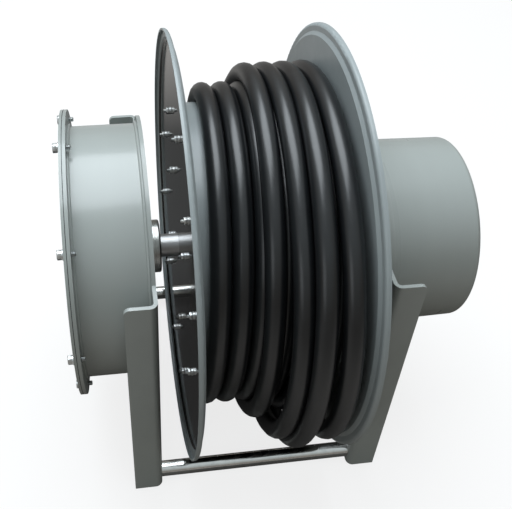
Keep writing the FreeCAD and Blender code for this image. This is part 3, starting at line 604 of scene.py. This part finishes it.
def cable_radius(turn, x, cable):
    """How far the middle of the cable is from the axis."""
    first_layer, touch = cable.first_layer / MM, cable.diameter / MM - SHEATH_GIVE
    if turn < FIRST_END:
        entry = ENTRY_DEPTH * (1 - ease(turn, START_TURN, ON_BARREL))
        return first_layer - entry + slack(turn, OUT)
    # A turn of the second layer rests on the nearest turns of the first.
    below = [turn % 1 + i for i in range(SECOND_START + 1) if turn % 1 + i < FIRST_END]
    gaps = [(under, abs(x - first_x(under, cable.pitch / MM))) for under in below]
    rests = [
        slack(under, OUT) + math.sqrt(touch**2 - gap**2) for under, gap in gaps if gap < touch
    ]
    return first_layer + max(rests, default=0) + slack(turn, OUT)


def cable_route(cable):
    """The control points of the winding, in metres. Its smooth line cuts a little inside them."""
    outward = 1 / math.cos(math.pi / POINTS_PER_TURN)
    count = round((LAST_TURN - START_TURN) * POINTS_PER_TURN)
    points = []
    for i in range(count + 1):
        turn = START_TURN + (LAST_TURN - START_TURN) * i / count
        x = cable_x(turn, cable.pitch / MM)
        radius = cable_radius(turn, x, cable)
        points.append(on_circle(radius * outward * MM, -360 * turn, x * MM))
    return points


def wind(route, diameter):
    """A round smooth curve along the route."""
    curve = bpy.data.curves.new("cable", "CURVE")
    curve.dimensions = "3D"
    curve.bevel_depth = diameter / 2
    curve.bevel_resolution = 6
    curve.resolution_u = STEPS_PER_POINT
    curve.use_fill_caps = True
    spline = curve.splines.new("NURBS")
    spline.points.add(len(route) - 1)
    for point, place in zip(spline.points, route):
        point.co = (*place, 1.0)
    spline.order_u = 3
    spline.use_endpoint_u = True
    winding = bpy.data.objects.new("cable", curve)
    bpy.context.collection.objects.link(winding)
    return winding


def middle_line(winding):
    """The points that the middle of the winding runs through."""
    line = winding.data.copy()
    line.bevel_depth = 0
    probe = bpy.data.objects.new("probe", line)
    followed = bpy.data.meshes.new_from_object(probe)
    corners = [vertex.co.copy() for vertex in followed.vertices]
    bpy.data.objects.remove(probe)
    return corners


def end_cap(place, direction, diameter):
    """A shrunk rubber cap over the cable's end, with a crowned top and a rolled mouth."""
    wall, length, set_back = 2 * MM, 44 * MM, 14 * MM
    crown_edge, crown = 4 * MM, 3 * MM
    mouth, mouth_growth = 4 * MM, 1.09
    deselect()
    bpy.ops.mesh.primitive_cylinder_add(vertices=32, radius=diameter / 2 + wall, depth=length)
    cap = bpy.context.object
    bpy.ops.object.mode_set(mode="EDIT")
    select_faces(faces_up)
    bpy.ops.mesh.inset(thickness=crown_edge)
    bpy.ops.transform.translate(value=(0, 0, crown))
    select_faces(faces_down)
    bpy.ops.mesh.extrude_region_move(TRANSFORM_OT_translate={"value": (0, 0, -mouth)})
    bpy.ops.transform.resize(value=(mouth_growth, mouth_growth, 1))
    bpy.ops.object.mode_set(mode="OBJECT")
    bevel(cap, 1.2 * MM, 3)
    turn = direction.to_track_quat("Z", "Y").to_matrix().to_4x4()
    cap.matrix_world = Matrix.Translation(place - direction.normalized() * set_back) @ turn
    return complete(cap, "shrunk_end_cap", "drum", "nitrile_sheet")


class REEL_OT_cable(bpy.types.Operator):
    """Wind the cable on the drum as one long line with slack outer turns"""

    bl_idname = "reel.cable"
    bl_label = "Cable"

    def execute(self, context):
        cable = context.scene.reel_cable
        route = cable_route(cable)
        winding = wind(route, cable.diameter)
        winding.data.materials.append(bpy.data.materials["chloroprene_sheath"])
        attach(winding, "drum")
        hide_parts("cable_inner_layer", "cable_outer_layer", "cable_slack_turns")
        corners = middle_line(winding)
        cap = end_cap(corners[-1], corners[-1] - corners[-STEPS_PER_POINT], cable.diameter)
        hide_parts("cable_end_cap")
        return {"FINISHED"}


# Fasteners: radius and pitch of the thread, depth of the hexagon, and the washers under it

M8 = {
    "radius": 4 * MM,
    "pitch": 1.25 * MM,
    "hexagon": 5.3 * MM,
    "washer_radius": 8 * MM,
    "washers": (1.6 * MM, 1.8 * MM),
}
M6 = {
    "radius": 3 * MM,
    "pitch": 1 * MM,
    "hexagon": 5 * MM,
    "washer_radius": 6 * MM,
    "washers": (1.2 * MM,),
}
THREAD_ROOT = 0.87
THREAD_TIP = 0.78
COVER_FIRST_ANGLE = 47
# The cover bolts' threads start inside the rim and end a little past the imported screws.
COVER_THREAD_START = -10 * MM
COVER_THREAD_SPARE = 2.5 * MM
FLANGE_THREAD_TAIL = 5 * MM
# On each flange: piece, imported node, radius of the ring, first angle and count
FLANGE_RINGS = (
    ("barrel_bolts", "barrel_screws", 221 * MM, 16, 10),
    ("hub_bolts", "hub_screws", 124 * MM, 35, 4),
)


def hexagon(flats, depth, seat):
    """A chamfered hexagon that stands along +Z on the seat; the new object is active."""
    chamfer, rise, edge = flats * 0.07, flats * 0.04, flats * 0.025
    deselect()
    bpy.ops.mesh.primitive_cylinder_add(
        vertices=6, radius=flats / math.sqrt(3), depth=depth, location=(0, 0, seat + depth / 2)
    )
    head = bpy.context.object
    bpy.ops.object.mode_set(mode="EDIT")
    select_faces(faces_up)
    bpy.ops.mesh.inset(thickness=chamfer)
    bpy.ops.transform.translate(value=(0, 0, rise))
    bpy.ops.object.mode_set(mode="OBJECT")
    bevel(head, edge, 2)
    return head


def add_washers(radius, sheets):
    """Washers under a hexagon, stacked from zero, each narrower than the one below it."""
    narrower, thinner = 0.12, 0.96
    bpy.ops.object.mode_set(mode="EDIT")
    base = 0
    for i, sheet in enumerate(sheets):
        bpy.ops.mesh.select_all(action="DESELECT")
        bpy.ops.mesh.primitive_cylinder_add(
            vertices=32,
            radius=radius * (1 - narrower * i),
            depth=sheet * thinner,
            location=(0, 0, base + sheet / 2),
        )
        base += sheet
    bpy.ops.object.mode_set(mode="OBJECT")


def add_thread(radius, start, end, pitch):
    """A threaded end along Z from start to end, with crests a pitch apart and a chamfered tip."""
    step = math.copysign(pitch / 2, end - start)
    bpy.ops.object.mode_set(mode="EDIT")
    bpy.ops.mesh.select_all(action="DESELECT")
    bpy.ops.mesh.primitive_circle_add(
        vertices=20, radius=radius * THREAD_ROOT, location=(0, 0, start), fill_type="NGON"
    )
    for i in range(round((end - start) / step) - 1):
        bpy.ops.mesh.extrude_region_move(TRANSFORM_OT_translate={"value": (0, 0, step)})
        grow = 1 / THREAD_ROOT if i % 2 == 0 else THREAD_ROOT
        bpy.ops.transform.resize(value=(grow, grow, 1))
    bpy.ops.mesh.extrude_region_move(TRANSFORM_OT_translate={"value": (0, 0, step)})
    bpy.ops.transform.resize(value=(THREAD_TIP, THREAD_TIP, 1))
    bpy.ops.mesh.select_all(action="SELECT")
    bpy.ops.mesh.normals_make_consistent(inside=False)
    bpy.ops.object.mode_set(mode="OBJECT")


def fastener(size, flats, thread_start, thread_end):
    """A hexagon on its washers, with its thread, along +Z; zero is the face that it sits on."""
    piece = hexagon(flats, size["hexagon"], sum(size["washers"]))
    add_washers(size["washer_radius"], size["washers"])
    add_thread(size["radius"], thread_start, thread_end, size["pitch"])
    return piece


class REEL_OT_cover_bolts(bpy.types.Operator):
    """Bolt the spring cover on, with washers under the heads and threaded ends behind the rim"""

    bl_idname = "reel.cover_bolts"
    bl_label = "Cover bolts"

    def execute(self, context):
        sizes = context.scene.reel_fasteners
        thread_end = RIM_FACE - COVER_THREAD_END + COVER_THREAD_SPARE
        bolt = fastener(M8, sizes.cover_flats, COVER_THREAD_START, thread_end)
        angles = ring(COVER_FIRST_ANGLE, sizes.cover_count)
        places = [(on_circle(sizes.cover_circle, a, RIM_FACE), -1) for a in angles]
        bolts = join_copies(bolt, places, "cover_bolts", "stand", "bright_zinc_plate")
        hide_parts("cover_screws")
        return {"FINISHED"}


class REEL_OT_drum_screws(bpy.types.Operator):
    """Bolt the flanges to the barrel and to the hubs, nuts and thread ends outside"""

    bl_idname = "reel.drum_screws"
    bl_label = "Drum bolts"

    def execute(self, context):
        flats = context.scene.reel_fasteners.flange_flats
        top = sum(M6["washers"]) + M6["hexagon"]
        for name, node, radius, first, count in FLANGE_RINGS:
            places = []
            for angle in ring(first, count):
                places.append((on_circle(radius, angle, FLANGE_OUTSIDE), 1))
                places.append((on_circle(radius, 180 - angle, -FLANGE_OUTSIDE), -1))
            bolt = fastener(M6, flats, top - M6["pitch"], top + FLANGE_THREAD_TAIL)
            bolts = join_copies(bolt, places, name, "drum", "bright_zinc_plate")
            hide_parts(node)
        return {"FINISHED"}


# Welds

WELD_RIPPLES = 180
RIPPLE_DEPTH = 0.45 * MM
WELD_SIDES = 10
# Each bead's name, its place outside the can's wall and along the axis, and its radius
WELDS = (
    ("can_weld_at_bracket", 1 * MM, CAN_END - 1.5 * MM, 3 * MM),
    ("can_weld_at_rim", 2 * MM, RIM_FACE + 11 * MM, 2.4 * MM),
)


def weld_bead(name, lift, x, radius):
    """A rippled ring of weld round the can."""
    deselect()
    bpy.ops.mesh.primitive_torus_add(
        major_segments=2 * WELD_RIPPLES,
        minor_segments=WELD_SIDES,
        major_radius=CAN_RADIUS + lift,
        minor_radius=radius,
        location=(x, 0, AXIS_HEIGHT),
        rotation=(0, math.pi / 2, 0),
    )
    bead = bpy.context.object
    bpy.ops.object.mode_set(mode="EDIT")
    bpy.ops.mesh.select_mode(type="VERT")
    bpy.ops.mesh.select_all(action="DESELECT")
    mesh = bmesh.from_edit_mesh(bead.data)
    mesh.verts.ensure_lookup_table()
    for vertex in mesh.verts:
        vertex.select_set((vertex.index // WELD_SIDES) % 2 == 0)
    bmesh.update_edit_mesh(bead.data)
    bpy.ops.transform.shrink_fatten(value=RIPPLE_DEPTH)
    bpy.ops.object.mode_set(mode="OBJECT")
    return complete(bead, name, "stand", "enamelled_plate", 60)


class REEL_OT_welds(bpy.types.Operator):
    """Weld the spring can to its rim and to the bracket"""

    bl_idname = "reel.welds"
    bl_label = "Welds"

    def execute(self, context):
        for weld in WELDS:
            weld_bead(*weld)
        return {"FINISHED"}


# Stage, camera and light

FLOOR_SIZE = 40
WHITE = "FFFFFF"
# How much of the white floor glows, and how much of that gloss and metal mirror
FLOOR_GLOW = 0.8
MIRRORED_GLOW = 0.03
# Concrete as it lights the reel, and as it is mirrored, with a painted shadow: dark near the reel
# and paler away from it
CONCRETE = "7A7064"
CONCRETE_PAINTED_SHADE = "1C1A18"
CONCRETE_AWAY = "A79F99"
SHADE_MIDDLE = 0.35
SHADE_START = 0.45
SHADE_END = 1.05
WALLS = "857F78"
CEILING = "CDD6D9"
CEILING_START = 0.1
CEILING_END = 0.8
LAMP_COLOUR = "EFF7FD"
# Each lamp's name, place, width, length and share of the light
LAMPS = (
    ("overhead_softbox", (-0.3, 0.7, 2.8), 2.0, 2.4, 1.0),
    ("front_left_softbox", (-2.4, -2.4, 1.8), 1.6, 1.6, 0.12),
)
# The camera that was fitted to the photograph: millimetres, shares of the frame, metres, degrees
SENSOR = 36
FOCAL_LENGTH = 54.84
SHIFT_X = 0.0739
SHIFT_Y = -0.0316
EYE = (-0.21725, -0.9398, 1.2666)
YAW = 10.13
PITCH = -43.14
ROLL = 2.83


class REEL_OT_stage(bpy.types.Operator):
    """Stand the reel on a pale floor under soft light, seen as in the photograph"""

    bl_idname = "reel.stage"
    bl_label = "Stage"

    def execute(self, context):
        sizes = context.scene.reel_stage
        self.floor(sizes)
        self.room()
        self.lights(sizes)
        self.camera()
        return {"FINISHED"}

    def floor(self, sizes):
        deselect()
        bpy.ops.mesh.primitive_plane_add(size=FLOOR_SIZE, location=(0, 0, 0))
        floor = bpy.context.object
        floor.name = "floor"
        material = bpy.data.materials.new("white_floor")
        material.use_nodes = True
        tree = material.node_tree
        tree.nodes.clear()
        # The eye sees a white floor with a shadow. Gloss and metal see a small share of that
        # white over concrete with the reel's shadow painted on it, dark near the reel and paler
        # away
        # from it: the reel stood in a workshop, and its flanges mirror that.
        path = add_node(tree, "ShaderNodeLightPath").outputs
        direct = calculate(tree, "MAXIMUM", path["Is Camera Ray"], path["Is Transmission Ray"])
        white = calculate(tree, "MULTIPLY_ADD", path["Is Glossy Ray"], MIRRORED_GLOW, direct)
        # Painted shadow: the mirrored concrete is dark near the reel and paler away from it.
        behind = calculate(tree, "SUBTRACT", place_parts(tree)["Y"], SHADE_MIDDLE)
        away = calculate(tree, "ABSOLUTE", behind)
        painted_shade_fade = spread(tree, away, 0, 1, SHADE_START, SHADE_END)
        mirrored = tint(tree, painted_shade_fade, CONCRETE_PAINTED_SHADE, CONCRETE_AWAY)
        concrete = tint(tree, path["Is Glossy Ray"], CONCRETE, mirrored)
        colour = tint(tree, white, concrete, sizes.floor)
        matt = add_node(tree, "ShaderNodeBsdfDiffuse", {"Color": colour})
        glow = add_node(tree, "ShaderNodeEmission", Color=linear(WHITE), Strength=1.0)
        share = calculate(tree, "MULTIPLY", white, FLOOR_GLOW)
        both = add_node(
            tree, "ShaderNodeMixShader", {0: share, 1: matt.outputs[0], 2: glow.outputs[0]}
        )
        add_node(tree, "ShaderNodeOutputMaterial", {"Surface": both.outputs[0]})
        floor.data.materials.append(material)

    def room(self):
        """A bright, cool ceiling over dim walls; the eye sees white behind the reel."""
        world = bpy.data.worlds.new("soft_room")
        world.use_nodes = True
        tree = world.node_tree
        tree.nodes.clear()
        up = place_parts(tree, "Generated")["Z"]
        height = spread(tree, up, 0, 1, CEILING_START, CEILING_END)
        colour = tint(tree, height, WALLS, CEILING)
        walls = add_node(tree, "ShaderNodeBackground", {"Color": colour}, Strength=1.0)
        white = add_node(tree, "ShaderNodeBackground", Color=linear(WHITE), Strength=1.0)
        path = add_node(tree, "ShaderNodeLightPath").outputs
        both = add_node(
            tree,
            "ShaderNodeMixShader",
            {0: path["Is Camera Ray"], 1: walls.outputs[0], 2: white.outputs[0]},
        )
        add_node(tree, "ShaderNodeOutputWorld", {"Surface": both.outputs[0]})
        bpy.context.scene.world = world

    def lights(self, sizes):
        for name, place, width, length, share in LAMPS:
            lamp = bpy.data.lights.new(name, "AREA")
            lamp.shape = "RECTANGLE"
            lamp.size = width
            lamp.size_y = length
            lamp.energy = sizes.light * share
            lamp.color = linear(LAMP_COLOUR)[:3]
            box = bpy.data.objects.new(name, lamp)
            box.location = place
            aim = Vector((0, 0, AXIS_HEIGHT)) - Vector(place)
            box.rotation_euler = aim.to_track_quat("-Z", "Y").to_euler()
            bpy.context.collection.objects.link(box)

    def camera(self):
        data = bpy.data.cameras.new("photo_view")
        data.sensor_width = SENSOR
        data.lens = FOCAL_LENGTH
        data.shift_x = SHIFT_X
        data.shift_y = SHIFT_Y
        eye = bpy.data.objects.new("photo_view", data)
        yaw, pitch, roll = (math.radians(d) for d in (YAW, PITCH, ROLL))
        ahead = Vector(
            (math.sin(yaw) * math.cos(pitch), math.cos(yaw) * math.cos(pitch), math.sin(pitch))
        )
        level = Vector((math.cos(yaw), -math.sin(yaw), 0))
        upright = level.cross(ahead)
        right = math.cos(roll) * level + math.sin(roll) * upright
        up = -math.sin(roll) * level + math.cos(roll) * upright
        turn = Matrix((right, up, -ahead)).transposed().to_4x4()
        eye.matrix_world = Matrix.Translation(EYE) @ turn
        bpy.context.collection.objects.link(eye)
        bpy.context.scene.camera = eye


class REEL_PT_panel(bpy.types.Panel):
    """Lists the values and the steps of the reel in the sidebar"""

    bl_idname = "REEL_PT_panel"
    bl_label = "Cable Reel"
    bl_space_type = "VIEW_3D"
    bl_region_type = "UI"
    bl_category = "Cable Reel"

    def draw(self, context):
        for name, group in GROUPS.items():
            for value in group.__annotations__:
                self.layout.prop(getattr(context.scene, name), value)
        for step in STEPS:
            self.layout.operator(step.bl_idname)


GROUPS = {
    "reel_cable": ReelCable,
    "reel_paint": ReelPaint,
    "reel_fasteners": ReelFasteners,
    "reel_stage": ReelStage,
}
STEPS = (
    REEL_OT_materials,
    REEL_OT_stage,
    REEL_OT_cable,
    REEL_OT_cover_bolts,
    REEL_OT_drum_screws,
    REEL_OT_welds,
)


def register():
    for name, group in GROUPS.items():
        bpy.utils.register_class(group)
        setattr(bpy.types.Scene, name, bpy.props.PointerProperty(type=group))
    for item in (*STEPS, REEL_PT_panel):
        bpy.utils.register_class(item)


def unregister():
    for item in reversed((*STEPS, REEL_PT_panel)):
        bpy.utils.unregister_class(item)
    for name, group in reversed(GROUPS.items()):
        delattr(bpy.types.Scene, name)
        bpy.utils.unregister_class(group)


def main():
    register()
    bpy.context.scene.view_settings.view_transform = "Standard"
    bpy.ops.reel.materials()
    bpy.ops.reel.stage()
    bpy.ops.reel.cable()
    bpy.ops.reel.cover_bolts()
    bpy.ops.reel.drum_screws()
    bpy.ops.reel.welds()


if __name__ == "__main__":
    main()
